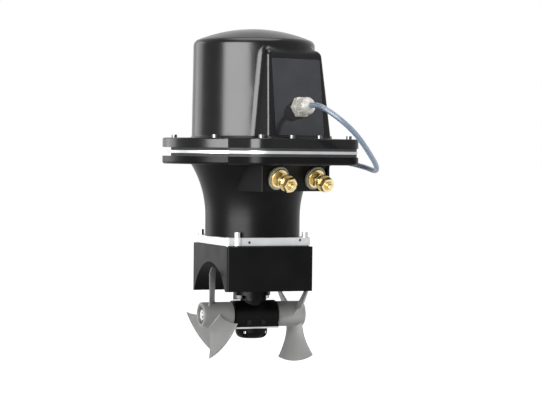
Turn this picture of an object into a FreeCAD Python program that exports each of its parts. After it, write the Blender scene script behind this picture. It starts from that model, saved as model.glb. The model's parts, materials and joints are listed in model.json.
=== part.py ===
import FreeCAD, Part
import math
import os

# Bow thruster in its own frame: millimetres, +X along the tunnel and the propeller shaft,
# +Z up the drive shaft, origin where the two shafts' axes meet.

Vec = FreeCAD.Vector
Z_AXIS = Vec(0, 0, 1)
X_AXIS = Vec(1, 0, 0)
ORIGIN = Vec(0, 0, 0)

# ---------------------------------------------------------------- clearances
fit_gap = 0.03            # radial gap of a fixed seat
run_gap = 0.05            # radial gap of a shaft in its bearing or seal
screw_gap = 0.4           # radial gap of a screw in its clearance hole
moving_gap = 0.6          # gap between parts that turn past each other

# ---------------------------------------------------------------- tunnel and saddle
tunnel_bore_radius = 62.5
tunnel_wall = 5.5
saddle_length = 114.4     # along the tunnel
saddle_width = 136.0      # across the tunnel
saddle_crown = 21.5       # block above the arch
saddle_front_foot_z = 33.5  # lower edge of the block's front
saddle_back_foot_z = 27.5
saddle_corner = 3.0
tunnel_outer_radius = tunnel_bore_radius + tunnel_wall
saddle_top_z = tunnel_outer_radius + saddle_crown

# ---------------------------------------------------------------- base plate
plate_gasket_thickness = 1.0
plate_gasket_inset = 1.0
plate_thickness = 10.0
plate_length = saddle_length  # flush with the saddle at both ends
plate_width = 120.0       # across the tunnel
plate_corner = 5.0
plate_lug_radius = 6.0
plate_near_screw_end_inset = 17.2   # one screw of each pair, the other is opposite
plate_near_screw_side_inset = 4.0
plate_corner_screw_end_inset = 6.2
plate_corner_screw_side_inset = 6.0
plate_screw_radius = 2.5
plate_screw_head_radius = 4.3
plate_screw_head_height = 5.6
plate_screw_socket = 4.0
plate_screw_depth = 15.0
plate_screw_washer = 1.2
plate_side_holes = ((-25.4, 4.2), (42.4, 6.8))  # along the front side, above the plate's bottom
plate_side_hole_radius = 1.7
plate_side_hole_depth = 10.0
plate_bottom_z = saddle_top_z + plate_gasket_thickness
plate_top_z = plate_bottom_z + plate_thickness

# ---------------------------------------------------------------- housing flanges
housing_turn = 18.0       # the upper housing faces this far from -Y towards +X
flange_radius = 116.0
flange_front = 120.0      # front edge of the wing that carries the control housing
flange_half_width = 82.7  # half width of the wing at its front corners
flange_corner = 24.0
flange_root_angle = 53.4  # where the wing's sides leave the round part
lower_flange_thickness = 10.0
upper_flange_thickness = 12.0
gasket_thickness = 3.75
gasket_inset = 11.0
gasket_wing_inset = 1.5   # of the gaskets, at the wing
motor_plate_inset = 6.0   # of the motor plate, at the round rim
motor_plate_wing_inset = 1.0
motor_plate_thickness = 3.5
lower_flange_round = 3.0
upper_flange_round = 2.0
bell_height = 101.5
flange_top_z = plate_top_z + bell_height
flange_bottom_z = flange_top_z - lower_flange_thickness
motor_plate_bottom_z = flange_top_z + gasket_thickness
motor_plate_top_z = motor_plate_bottom_z + motor_plate_thickness
cover_bottom_z = motor_plate_top_z + gasket_thickness
cover_flange_top_z = cover_bottom_z + upper_flange_thickness

# flange screws as (distance right of the housing's middle, distance in front of the axis)
flange_screw_inset = 15.0  # in from the round rim
flange_screw_circle = flange_radius - flange_screw_inset
flange_screw_angles = (-125.0, -66.0, 66.0, 125.0, 180.0)
flange_screw_side_inset = 12.5
flange_screw_front_inset = 14.0
flange_screw_front_x = 22.0
flange_screw_radius = 2.0
flange_screw_head_radius = 3.5
flange_screw_head_height = 4.0
flange_screw_socket = 3.0
flange_screw_floor = 2.0  # left below the tapped hole

# ---------------------------------------------------------------- bell housing
bell_foot_radius = 60.6
bell_straight = 25.5      # straight part above the base plate
bell_flare_radius = 124.0
bell_wall = 4.5
bell_lip_height = 8.0
bell_lip_inner_radius = 44.0
bell_screw_circle = 50.0
bell_screw_radius = 2.5
bell_screw_head_radius = 4.5
bell_screw_head_height = 3.5
bell_screw_count = 4

# ---------------------------------------------------------------- terminal pocket
pocket_half_width = 54.4
pocket_front = 88.3       # at the underside of the flange
pocket_height = 33.0
pocket_tilt = 20.0        # the front leans back going down
pocket_wall = 4.0
pocket_cheek = 5.0        # upright cheek at each side of the leaning front
pocket_edge_round = 1.5
terminal_spacing = 59.4
terminal_side = 4.0       # middle of the two, to the right of the pocket's
terminal_drop = 15.5      # below the underside of the flange
stud_radius = 5.0
stud_point_radius = 4.0   # plain point that guides the cable's lug on
stud_point_length = 5.0
stud_point_gap = 0.8      # thread left between the outer nut and the point
lug_space = 6.0           # bare thread between the two stacks, for the cable lugs
insulator_radius = 15.0
insulator_thickness = 3.0
insulator_bush_radius = 7.5
washer_radius = 12.0
outer_washer_radius = 10.5
washer_thickness = 2.0
terminal_nut_across = 17.0
terminal_nut_height = 8.0
inner_nut_height = 5.0

# ---------------------------------------------------------------- motor cover
cover_height = 151.5      # from the flange's underside to the top of the crown
cover_foot_radius = 79.0
cover_draft = 1.5         # the dome is this much narrower at its shoulder
cover_wall = 3.5
crown_radius = 190.0
shoulder_round = 9.0
cover_top_z = cover_bottom_z + cover_height

# control housing on the front of the cover
control_front = 92.0      # front face at the flange's top
control_side = 3.0        # middle of the control housing, to the right of the dome's
control_half_width = 51.0
control_top_half_width = 43.0
control_lean = 6.2        # the face leans back by this angle
control_height = 111.5    # above the flange's top
control_corner = 4.0
control_top_round = 9.0
cover_foot_fillet = 4.0   # hollow fillet where the cover stands on its flange
control_fillet = 10.0     # hollow fillet between housing and dome
control_back = 20.0
control_top_z = cover_flange_top_z + control_height

# label panel, let into the face
panel_half_width = 39.0
panel_bottom = 4.0        # above the flange's top
panel_top = 100.0
panel_depth = 1.5
panel_thickness = 1.2
panel_corner = 2.5
panel_gap = 0.2

# ---------------------------------------------------------------- cable gland
gland_height = 39.0       # centre above the flange's top
gland_side = 1.0          # centre to the right of the face's middle
gland_across = 24.0
gland_hex_height = 7.0
gland_thread_radius = 9.5
gland_inner_nut_height = 5.0
gland_neck_radius = 8.5
gland_neck_height = 8.0
gland_bore_radius = 6.0
gland_nut_radius = 11.0
gland_nut_skirt = 10.0
gland_nut_height = 16.5
gland_nut_nose_radius = 5.2
gland_seal_height = 10.0

# ---------------------------------------------------------------- control cable
cable_radius = 3.3
cable_exit_gap = 0.3
cable_first_run = 17.5
# chosen points of the route from the gland's first run to the plug, as (angle from +X,
# distance outside the flange's round rim, height above the lower flange's underside)
CABLE_ROUTE = [
    (-69.56, 22.6, 69.8),
    (-65.75, 41.3, 56.5),
    (-59.34, 48.7, 39.8),
    (-48.61, 46.9, 18.0),
    (-35.82, 46.3, -0.5),
    (-23.73, 41.5, -8.0),
    (-13.10, 29.6, -2.0),
    (2.69, 7.6, 5.0),
    (21.34, 7.7, 5.0),
    (37.00, 6.0, -3.0),
    (52.69, 7.6, 5.0),
    (71.32, 7.6, 5.0),
    (79.74, 12.0, -6.0),
    (84.34, 15.7, -25.0),
    (84.34, 15.7, -55.0),
]
cable_shortest_radius = 5 * cable_radius
clip_width = 8.0
clip_wall = 1.2
clip_reach = 9.0
clip_gap = 0.15
CLIP_RUNS = (9, 12)       # the clips hold these runs at their middles
plug_radius = 8.0
plug_length = 36.0
plug_boot_length = 22.0
plug_boot_radius = 4.4
plug_ring_radius = 9.0
plug_ring_length = 14.0

# ---------------------------------------------------------------- gear leg
gearcase_radius = 18.0
gearcase_left = 26.5      # the case reaches this far from the drive axis on each side
gearcase_right = 30.5
gearcase_cavity_radius = 15.2
gearcase_cavity_half_length = 15.0
gearcase_block_half_width = 18.0
gearcase_block_top_z = -3.0
gearcase_block_bottom_z = -15.0
gearcase_groove = 1.0
neck_foot_radius = 12.0
neck_top_radius = 14.5
collar_radius = 23.7
collar_bottom_z = 18.5
spigot_radius = 14.2
leg_bore_radius = 11.0
pinion_bearing_z = 22.0
pinion_hole_radius = 9.0
leg_bolt_x = 18.2
leg_bolt_radius = 3.0
leg_bolt_across = 10.0
leg_bolt_head_height = 4.5
leg_bolt_seat_z = 25.0    # underside of the collar where the bolts' heads bear
leg_bolt_pocket = 6.3     # half width of the pocket round each head, open to the front
leg_bolt_reach = 15.0     # thread held in the saddle
ring_seal_section = 1.6
bottom_plate_thickness = 2.0
cap_radius = 20.5
cap_straight = 5.0
cap_height = 13.0
cap_foot_radius = 11.0
cap_screw_circle = 18.0
cap_screw_radius = 1.5
cap_screw_head_radius = 2.7
cap_screw_head_height = 3.0
cap_screw_seat = 3.5
cap_screw_reach = 7.0
cap_screw_count = 4
oil_plug_x = 9.5
oil_plug_z = -9.0
oil_plug_radius = 3.0
oil_plug_shank = 1.8
oil_plug_height = 1.2
oil_plug_depth = 4.0

# ---------------------------------------------------------------- bevel gears
gear_module = 1.4
pinion_teeth = 10
crown_teeth = 20
gear_face = 5.0
pressure_angle = 22.0
gear_backlash = 0.30
addendum_share = 0.85     # of the module
dedendum_share = 1.20
pinion_hub_length = 5.0
crown_hub_radius = 9.0
crown_back = 13.6         # back of the crown gear's hub, from the drive axis

# ---------------------------------------------------------------- shafts and bearings
drive_shaft_radius = 6.0
drive_tail_radius = 4.0
drive_tip_radius = 3.0
drive_tip_z = 12.5
plate_bearing_radius = 16.0
plate_bearing_height = 10.0
drive_seal_radius = 12.0
drive_seal_height = 6.0
pinion_bearing_height = 7.0
prop_shaft_radius = 5.0
prop_bearing_radius = 13.0
prop_bearing_width = 8.0
prop_seal_width = 3.0
prop_seal_depth = 0.5     # below the gearcase's end face
prop_thread_radius = 4.0

# ---------------------------------------------------------------- coupling
coupling_radius = 24.0
coupling_hub_height = 16.0
coupling_bottom = 9.0     # above the base plate's top
coupling_jaw_height = 11.0
coupling_jaws = 3
coupling_jaw_share = 0.34 # of each pitch, the rest is the spider's
coupling_gap = 0.25

# ---------------------------------------------------------------- motor
can_radius = 55.0
can_wall = 4.0
can_below = 41.25         # below the motor plate's top
can_above = 112.0
can_flange_radius = 66.0
can_flange_thickness = 6.0
motor_screw_circle = 60.5
motor_screw_radius = 2.5
motor_screw_head_radius = 4.2
motor_screw_head_height = 5.0
motor_screw_count = 6
bracket_thickness = 8.0
bracket_spigot = 4.0
bearing_boss_radius = 22.0
bearing_boss_height = 7.0
motor_bearing_radius = 16.0
motor_bearing_height = 10.0
motor_shaft_radius = 6.0
motor_shaft_top = 6.0     # above the upper bearing
magnet_thickness = 11.0
magnet_span = 68.0
magnet_length = 84.0
magnet_bottom = 14.0      # above the can's lower end
armature_gap = 2.0
armature_length = 72.0
armature_slots = 16
slot_depth = 7.0
slot_width = 4.0
winding_height = 11.0
winding_radius = 33.0
commutator_radius = 20.0
commutator_length = 26.0
commutator_bars = 24
brush_width = 8.0
brush_height = 14.0
brush_length = 16.0
brush_gap = 0.3
brush_ring_thickness = 4.0

# ---------------------------------------------------------------- contactors
contactor_width = 26.0
contactor_depth = 15.0
contactor_height = 36.0
contactor_back = 67.5     # in front of the axis
contactor_round = 3.0
bus_bar_width = 14.0
bus_bar_thickness = 2.0
bus_bar_rise = 30.0       # above the motor plate's top

# ---------------------------------------------------------------- propellers
tip_clearance = 1.2
hub_radius = 16.3
hub_gap = 1.5             # between the gearcase's end and the hub
hub_outer_x = 69.0
hub_recess_radius = 11.5
hub_recess_depth = 10.0
hub_round = 1.5
left_blade_station = 54.0   # the blades stand at this distance from the drive axis
right_blade_station = 58.5
blade_count = 3
blade_edge = 1.2          # thickness left at the blades' edges
# blade sections as (radius, chord, thickness, pitch)
BLADE_SECTIONS = (
    (13.0, 25.0, 5.0, 34.0),
    (26.0, 29.0, 4.2, 31.0),
    (39.0, 40.0, 3.6, 28.5),
    (52.0, 57.0, 3.1, 26.5),
    (65.0, 77.0, 2.7, 25.0),
)
left_blade_start = 57.5   # first blade, from straight down towards -Y
right_blade_start = 7.0
drive_pin_radius = 2.0
drive_pin_half_length = 11.0
drive_pin_x = 37.0
hub_nut_across = 13.0
hub_nut_height = 6.5
hub_washer_radius = 9.0
hub_washer_thickness = 1.6
prop_tip_radius = tunnel_bore_radius - tip_clearance


# ================================================================ helpers
def box(x0, x1, y0, y1, z0, z1):
    return Part.makeBox(x1 - x0, y1 - y0, z1 - z0, Vec(x0, y0, z0))


def post(radius, z0, z1, x=0.0, y=0.0):
    return Part.makeCylinder(radius, z1 - z0, Vec(x, y, z0))


def tube(outer, inner, z0, z1):
    return post(outer, z0, z1).cut(post(inner, z0 - 1, z1 + 1))


def bar(radius, x0, x1):
    return Part.makeCylinder(radius, x1 - x0, Vec(x0, 0, 0), X_AXIS)


def ring_on_x(outer, inner, x0, x1):
    return bar(outer, x0, x1).cut(bar(inner, x0 - 1, x1 + 1))


def hexagon(across, z0, z1, x=0.0, y=0.0):
    corner = across / math.sqrt(3)
    points = []
    for i in range(7):
        turn = math.radians(60 * i)
        points.append(Vec(x + corner * math.cos(turn), y + corner * math.sin(turn), z0))
    return Part.Face(Part.makePolygon(points)).extrude(Vec(0, 0, z1 - z0))


def lathe(points):
    """Solid turned about Z from (radius, height) points."""
    outline = [Vec(r, 0, z) for r, z in points]
    outline.append(outline[0])
    return Part.Face(Part.makePolygon(outline)).revolve(ORIGIN, Z_AXIS, 360)


def prism(points, z0, z1):
    outline = [Vec(x, y, z0) for x, y in points]
    outline.append(outline[0])
    return Part.Face(Part.makePolygon(outline)).extrude(Vec(0, 0, z1 - z0))


def side_prism(points, x0, x1):
    """Solid drawn as (y, z) points and extruded along X."""
    outline = [Vec(x0, y, z) for y, z in points]
    outline.append(outline[0])
    return Part.Face(Part.makePolygon(outline)).extrude(Vec(x1 - x0, 0, 0))


def join(shapes):
    return shapes[0].multiFuse(shapes[1:]).removeSplitter()


def trim(shape, tools):
    for tool in tools:
        shape = shape.cut(tool)
    return shape


def group(shapes):
    return Part.makeCompound(shapes)


def moved(shape, x=0.0, y=0.0, z=0.0):
    copy = shape.copy()
    copy.translate(Vec(x, y, z))
    return copy


def turned(shape, degrees, axis=Z_AXIS):
    copy = shape.copy()
    copy.rotate(ORIGIN, axis, degrees)
    return copy


def housed(shape):
    """From the upper housing's own frame, which faces -Y, to the thruster's."""
    return turned(shape, housing_turn)


def polar(radius, degrees):
    """Point at an angle from -Y towards +X."""
    angle = math.radians(degrees)
    return radius * math.sin(angle), -radius * math.cos(angle)


def ring_of(shape, count, first=0.0):
    return [turned(shape, first + 360.0 * i / count) for i in range(count)]


def rounded(shape, radius, wanted):
    """Fillet of the edges that pass the test."""
    edges = [edge for edge in shape.Edges if wanted(edge)]
    return shape.makeFillet(radius, edges)


def ends(edge):
    first = edge.valueAt(edge.FirstParameter)
    last = edge.valueAt(edge.LastParameter)
    return first, last


def upright(edge):
    first, last = ends(edge)
    run = last - first
    return run.Length > 0.5 and abs(run.z) > 0.9 * run.Length


def level_at(z):
    def test(edge):
        first, last = ends(edge)
        return abs(first.z - z) < 0.01 and abs(last.z - z) < 0.01
    return test


def from_face(shape, height, lean, front):
    """Put a shape drawn on the XY plane, +Z out, on a face that looks along -Y.

    The face stands at y = -front where z = height, and leans back by lean degrees."""
    copy = shape.copy()
    copy.rotate(ORIGIN, X_AXIS, 90 - lean)
    copy.translate(Vec(0, -front, height))
    return copy


def save(node, shape):
    shape.exportStep("parts/" + node + ".step")


# ================================================================ flange layers
def wing_points(inset):
    x, y = polar(flange_radius - inset, flange_root_angle)
    half = flange_half_width - inset
    front = flange_front - inset
    return [(0, 0), (-x, y), (-half, -front), (half, -front), (x, y)]


def flange_layer(z0, z1, round_inset=0.0, wing_inset=0.0):
    wing = prism(wing_points(wing_inset), z0, z1)
    edge_y = -(flange_front - wing_inset)

    def front_corner(edge):
        return upright(edge) and abs(ends(edge)[0].y - edge_y) < 0.01

    wing = rounded(wing, flange_corner, front_corner)
    return post(flange_radius - round_inset, z0, z1).fuse(wing).removeSplitter()


def flange_screw_places():
    places = [polar(flange_screw_circle, angle) for angle in flange_screw_angles]
    corner_x = flange_half_width - flange_screw_side_inset
    front_y = -(flange_front - flange_screw_front_inset)
    for x in (corner_x, flange_screw_front_x):
        places += [(x, front_y), (-x, front_y)]
    return places


def flange_screw_holes(z0, z1):
    radius = flange_screw_radius + screw_gap
    return [post(radius, z0 - 1, z1 + 1, x, y) for x, y in flange_screw_places()]


def flange_tapped_holes():
    low = flange_bottom_z + flange_screw_floor
    radius = flange_screw_radius + fit_gap
    return [post(radius, low, flange_top_z + 1, x, y) for x, y in flange_screw_places()]


def cover_screws():
    low = flange_bottom_z + flange_screw_floor + 0.5
    top = cover_flange_top_z
    head_top = top + flange_screw_head_height
    screws = []
    for x, y in flange_screw_places():
        shank = post(flange_screw_radius, low, top, x, y)
        head = post(flange_screw_head_radius, top, head_top, x, y)
        socket = hexagon(flange_screw_socket, head_top - 2, head_top + 1, x, y)
        screws.append(shank.fuse(head).cut(socket))
    return housed(group(screws))


def seam_opening(z0, z1):
    """The clear inside of the seam: the bell's and the cover's hollow."""
    round_part = post(can_flange_radius + 1, z0 - 1, z1 + 1)
    half = control_half_width - cover_wall
    front = box(control_side - half, control_side + half, -(control_front - cover_wall), 0,
                z0 - 1, z1 + 1)
    return round_part.fuse(front)


def gasket(z0):
    z1 = z0 + gasket_thickness
    layer = flange_layer(z0, z1, gasket_inset, gasket_wing_inset)
    return trim(layer, [seam_opening(z0, z1)] + flange_screw_holes(z0, z1))


def motor_plate():
    z0, z1 = motor_plate_bottom_z, motor_plate_top_z
    plate = flange_layer(z0, z1, motor_plate_inset, motor_plate_wing_inset)
    cuts = flange_screw_holes(z0, z1)
    cuts.append(post(can_radius + screw_gap, z0 - 1, z1 + 1))
    cuts += [motor_screw_hole(x, y) for x, y in motor_screw_places()]
    cuts += bus_bar_slots()
    return trim(plate, cuts)


# ================================================================ bell housing
def bell_profile(inset, low, high):
    """Face of the bell's section, inset from its outer surface."""
    straight_z = plate_top_z + bell_straight
    centre_r = bell_foot_radius + bell_flare_radius
    radius = bell_flare_radius + inset
    foot_r = bell_foot_radius - inset

    def flare(z):
        rise = z - straight_z
        return centre_r - math.sqrt(radius ** 2 - rise ** 2)

    middle = (straight_z + high) / 2
    start = Vec(foot_r, 0, straight_z)
    end = Vec(flare(high), 0, high)
    arc = Part.Arc(start, Vec(flare(middle), 0, middle), end).toShape()
    foot = Vec(foot_r, 0, low)
    edges = [
        Part.makeLine(Vec(0, 0, low), foot),
        Part.makeLine(foot, start),
        arc,
        Part.makeLine(end, Vec(0, 0, high)),
        Part.makeLine(Vec(0, 0, high), Vec(0, 0, low)),
    ]
    return Part.Face(Part.Wire(edges))


def bell_body(inset, low, high):
    return bell_profile(inset, low, high).revolve(ORIGIN, Z_AXIS, 360)


def pocket_block(inset, top_z):
    lean = math.tan(math.radians(pocket_tilt))
    bottom = flange_bottom_z - pocket_height + inset
    normal_inset = inset / math.cos(math.radians(pocket_tilt))
    front_low = pocket_front - normal_inset - (flange_bottom_z - bottom) * lean
    front_high = pocket_front - normal_inset
    points = [
        (0, bottom),
        (-front_low, bottom),
        (-front_high, flange_bottom_z),
        (-front_high, top_z),
        (0, top_z),
    ]
    half = pocket_half_width - inset
    return side_prism(points, -half, half)


def pocket_outer():
    low, high = flange_bottom_z - pocket_height, flange_bottom_z + 1
    inner, outer = pocket_half_width - pocket_cheek, pocket_half_width
    cheek = box(inner, outer, -pocket_front, 0, low, high)

    def outer_corner(edge):
        first = ends(edge)[0]
        return upright(edge) and first.y < -1 and first.x > inner + 0.1

    right = rounded(cheek, pocket_edge_round, outer_corner)
    return join([pocket_block(0.0, high), right, right.mirror(ORIGIN, X_AXIS)])


def bell_housing():
    low, high = plate_top_z, flange_bottom_z + 1
    flange = flange_layer(flange_bottom_z, flange_top_z)
    flange = rounded(flange, lower_flange_round, level_at(flange_bottom_z))
    shell = join([bell_body(0.0, low, high), pocket_outer(), flange])
    lip_top = plate_top_z + bell_lip_height
    hollow = bell_body(bell_wall, lip_top, flange_top_z + 1)
    cuts = [
        hollow,
        post(bell_lip_inner_radius, low - 1, lip_top + 1),
        pocket_block(pocket_wall, flange_top_z + 1),
    ]
    cuts += flange_tapped_holes()
    cuts += [to_terminal(x, post(insulator_bush_radius + fit_gap, -20, 5)) for x in terminal_x()]
    return housed(trim(shell, cuts + bell_screw_holes()))


def bell_screw_places():
    return [polar(bell_screw_circle, 45 + 360.0 * i / bell_screw_count)
            for i in range(bell_screw_count)]


def bell_screw_holes():
    high = plate_top_z + bell_lip_height - 1.5
    return [post(bell_screw_radius + fit_gap, plate_top_z - 1, high, x, y)
            for x, y in bell_screw_places()]


def bell_screws():
    low = plate_bottom_z
    high = plate_top_z + bell_lip_height - 2
    screws = []
    for x, y in bell_screw_places():
        shank = post(bell_screw_radius, low, high, x, y)
        head = post(bell_screw_head_radius, low, low + bell_screw_head_height, x, y)
        screws.append(shank.fuse(head).cut(hexagon(plate_screw_socket, low - 1, low + 1.5, x, y)))
    return housed(group(screws))


# ================================================================ terminals
def terminal_x():
    return (terminal_side - terminal_spacing / 2, terminal_side + terminal_spacing / 2)


def to_terminal(x, shape):
    """From a terminal's own frame, +Z out of the pocket's front, to the housing's."""
    lean = math.tan(math.radians(pocket_tilt))
    front = pocket_front - terminal_drop * lean
    height = flange_bottom_z - terminal_drop
    return moved(from_face(shape, height, -pocket_tilt, front), x)


def terminal_insulators():
    bodies = []
    for x in terminal_x():
        collar = post(insulator_radius, 0, insulator_thickness)
        bush = post(insulator_bush_radius, -pocket_wall - 1, 1)
        hole = post(stud_radius + fit_gap, -20, 20)
        bodies.append(to_terminal(x, collar.fuse(bush).removeSplitter().cut(hole)))
    return housed(group(bodies))


def terminal_stacks():
    """(bottom, washer's top, nut's top) of the inner and the outer washer and nut."""
    stacks = []
    low = insulator_thickness
    for _ in range(2):
        nut_top = low + washer_thickness + terminal_nut_height
        stacks.append((low, low + washer_thickness, nut_top))
        low = nut_top + lug_space
    return stacks


def stud_inner_end():
    """How far the stud reaches behind the pocket's front, to the bus bar's back."""
    lean = math.radians(pocket_tilt)
    front = pocket_front - terminal_drop * math.tan(lean)
    bar_back = contactor_back - bus_bar_thickness
    return (front - bar_back) / math.cos(lean) + inner_nut_height + 3


def terminal_studs():
    thread_top = terminal_stacks()[-1][2] + stud_point_gap
    thread = post(stud_radius, -stud_inner_end(), thread_top)
    point = post(stud_point_radius, thread_top - 1, thread_top + stud_point_length)
    stud = join([thread, point])
    return housed(group([to_terminal(x, stud) for x in terminal_x()]))


def terminal_washers():
    washers = []
    for (low, high, _), radius in zip(terminal_stacks(), (washer_radius, outer_washer_radius)):
        washer = tube(radius, stud_radius + fit_gap, low, high)
        washers += [to_terminal(x, washer) for x in terminal_x()]
    return housed(group(washers))


def terminal_nuts():
    nuts = []
    for _, low, high in terminal_stacks():
        bore = post(stud_radius + fit_gap, low - 1, high + 1)
        nut = hexagon(terminal_nut_across, low, high).cut(bore)
        nuts += [to_terminal(x, nut) for x in terminal_x()]
    return housed(group(nuts))


def bus_bars():
    low = flange_bottom_z - pocket_height + pocket_wall + 2
    high = motor_plate_top_z + bus_bar_rise
    hole = post(stud_radius + fit_gap, -stud_inner_end() - 20, 20)
    bars = []
    for x in terminal_x():
        strip = box(
            x - bus_bar_width / 2, x + bus_bar_width / 2,
            -contactor_back, -(contactor_back - bus_bar_thickness), low, high)
        bars.append(strip.cut(to_terminal(x, hole)))
    return housed(group(bars))


def bus_bar_slots():
    reach = bus_bar_width / 2 + 2
    slots = []
    for x in terminal_x():
        slots.append(box(x - reach, x + reach, -(contactor_back + 2),
                         -(contactor_back - bus_bar_thickness - 2),
                         motor_plate_bottom_z - 1, motor_plate_top_z + 1))
    return slots


def contactors():
    bodies = []
    z0, z1 = motor_plate_top_z, motor_plate_top_z + contactor_height
    for x in terminal_x():
        body = box(x - contactor_width / 2, x + contactor_width / 2,
                   -(contactor_back + contactor_depth), -contactor_back, z0, z1)
        body = rounded(body, contactor_round, upright)
        for offset in (-7.0, 7.0):
            body = body.fuse(post(3.0, z1 - 1, z1 + 5, x + offset,
                                  -(contactor_back + contactor_depth / 2)))
        bodies.append(body)
    return housed(group(bodies))


# ================================================================ motor cover
def dome(inset):
    foot = cover_foot_radius - inset
    shoulder = foot - cover_draft
    top = cover_top_z - inset
    sphere = crown_radius - inset

    def crown(r):
        return top - sphere + math.sqrt(sphere ** 2 - r ** 2)

    low = cover_bottom_z - (1 if inset else 0)
    start = Vec(shoulder, 0, crown(shoulder))
    arc = Part.Arc(start, Vec(shoulder / 2, 0, crown(shoulder / 2)), Vec(0, 0, top)).toShape()
    edges = [
        Part.makeLine(Vec(0, 0, low), Vec(foot, 0, low)),
        Part.makeLine(Vec(foot, 0, low), start),
        arc,
        Part.makeLine(Vec(0, 0, top), Vec(0, 0, low)),
    ]
    solid = Part.Face(Part.Wire(edges)).revolve(ORIGIN, Z_AXIS, 360)
    return rounded(solid, shoulder_round - inset, level_at(crown(shoulder)))


def control_y(z):
    """Distance of the control housing's face in front of the axis."""
    return control_front - (z - cover_flange_top_z) * math.tan(math.radians(control_lean))


def control_half(z):
    share = (z - cover_flange_top_z) / control_height
    return control_half_width + share * (control_top_half_width - control_half_width)


def control_block(inset):
    low = cover_bottom_z - (1 if inset else 0)
    high = control_top_z - inset
    wires = []
    for z in (low, high):
        half = control_half(z) - inset
        front = control_y(z) - inset
        left, right = control_side - half, control_side + half
        points = [Vec(left, -control_back, z), Vec(left, -front, z),
                  Vec(right, -front, z), Vec(right, -control_back, z),
                  Vec(left, -control_back, z)]
        wires.append(Part.makePolygon(points))
    return Part.makeLoft(wires, True, True)


def control_outer():
    block = control_block(0.0)

    def front_corner(edge):
        return upright(edge) and ends(edge)[0].y < -control_back - 1

    def top_edge(edge):
        nearest = min(point.y for point in ends(edge))
        return level_at(control_top_z)(edge) and nearest < -control_back - 1

    return rounded(rounded(block, control_top_round, top_edge), control_corner, front_corner)


def cover_radius(z):
    """Outer radius of the dome's wall."""
    shoulder = cover_foot_radius - cover_draft
    top = cover_top_z - crown_radius + math.sqrt(crown_radius ** 2 - shoulder ** 2)
    return cover_foot_radius - cover_draft * (z - cover_bottom_z) / (top - cover_bottom_z)


def cover_body():
    """The dome and the control housing, with a hollow fillet all along their meeting line."""
    def on_dome(point):
        return abs(math.hypot(point.x, point.y) - cover_radius(point.z)) < 0.15

    def meeting_line(edge):
        middle = edge.valueAt((edge.FirstParameter + edge.LastParameter) / 2)
        on_wall = all(on_dome(point) for point in (middle, *ends(edge)))
        return on_wall and middle.y < -control_half_width and middle.z > cover_bottom_z + 0.5

    return rounded(join([dome(0.0), control_outer()]), control_fillet, meeting_line)


def on_panel(shape, height):
    """From the control face's frame, +Z out, to the housing's, at a height above the flange."""
    z = cover_flange_top_z + height
    return moved(from_face(shape, z, control_lean, control_y(z)), control_side)


def on_gland_axis(shape):
    return on_panel(moved(shape, gland_side), gland_height)


def panel_block(gap, low_out, high_out):
    slope = math.cos(math.radians(control_lean))
    middle = (panel_bottom + panel_top) / 2
    half_height = (panel_top - panel_bottom) / (2 * slope) - gap
    half = panel_half_width - gap
    block = box(-half, half, -half_height, half_height, low_out, high_out)
    block = rounded(block, panel_corner, upright)
    return on_panel(block, middle)


def cover_flange():
    flange = flange_layer(cover_bottom_z, cover_flange_top_z)
    return rounded(flange, upper_flange_round, level_at(cover_flange_top_z))


def motor_cover():
    outer = join([cover_body(), cover_flange()])

    def foot(edge):
        middle = edge.valueAt((edge.FirstParameter + edge.LastParameter) / 2)
        inside = math.hypot(middle.x, middle.y) < flange_radius - 2 * upper_flange_round
        return level_at(cover_flange_top_z)(edge) and inside

    outer = rounded(outer, cover_foot_fillet, foot)
    cuts = [dome(cover_wall), control_block(cover_wall), panel_block(0.0, -panel_depth, 10.0)]
    cuts.append(on_gland_axis(post(gland_thread_radius + fit_gap, -30, 10)))
    return housed(trim(outer, cuts + flange_screw_holes(cover_bottom_z, cover_flange_top_z)))


def label_panel():
    sheet = panel_block(panel_gap, -panel_depth, -panel_depth + panel_thickness)
    return housed(sheet.cut(on_gland_axis(post(gland_thread_radius + fit_gap, -30, 10))))


# ================================================================ cable gland
def gland_seat():
    """The gland sits on the panel, this far out of the control face."""
    return panel_thickness - panel_depth


def on_gland(shape):
    return housed(on_gland_axis(moved(shape, 0, 0, gland_seat())))


def gland_body():
    inner = cover_wall + gland_inner_nut_height + 2
    hex_part = hexagon(gland_across, 0, gland_hex_height)
    hex_part = hex_part.common(lathe([(0, 0), (gland_across * 0.56, 0),
                                      (gland_across * 0.56, gland_hex_height - 1.2),
                                      (gland_across * 0.5, gland_hex_height),
                                      (0, gland_hex_height)]))
    neck = post(gland_neck_radius, gland_hex_height - 1, gland_hex_height + gland_neck_height)
    thread = post(gland_thread_radius, -inner, 1)
    body = join([hex_part, neck, thread])
    deep = gland_hex_height + gland_neck_height - gland_seal_height + 2
    body = body.cut(post(cable_radius + 1, -inner - 1, 40))
    return on_gland(body.cut(post(gland_bore_radius, deep, 40)))


def gland_lock_nut():
    low = -cover_wall - gland_inner_nut_height
    high = -cover_wall + panel_depth - panel_thickness
    nut = hexagon(gland_across, low, high - 0.3)
    return on_gland(nut.cut(post(gland_thread_radius + fit_gap, low - 1, high + 1)))


def gland_nut():
    low = gland_hex_height + 0.3
    skirt = low + gland_nut_skirt
    top = low + gland_nut_height
    outline = [(0, low), (gland_nut_radius, low), (gland_nut_radius, skirt),
               (gland_nut_radius - 1.6, skirt + 2.6), (gland_nut_nose_radius + 1.2, top - 1.2),
               (gland_nut_nose_radius, top), (0, top)]
    nut = lathe(outline)
    nut = nut.cut(post(gland_neck_radius + fit_gap, low - 1, gland_neck_top() + 2.3))
    flutes = ring_of(post(1.6, low - 1, skirt + 4, gland_nut_radius + 0.7, 0), 12)
    return on_gland(trim(nut.cut(post(cable_radius + cable_exit_gap, low, top + 1)), flutes))


def gland_neck_top():
    return gland_hex_height + gland_neck_height


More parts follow.
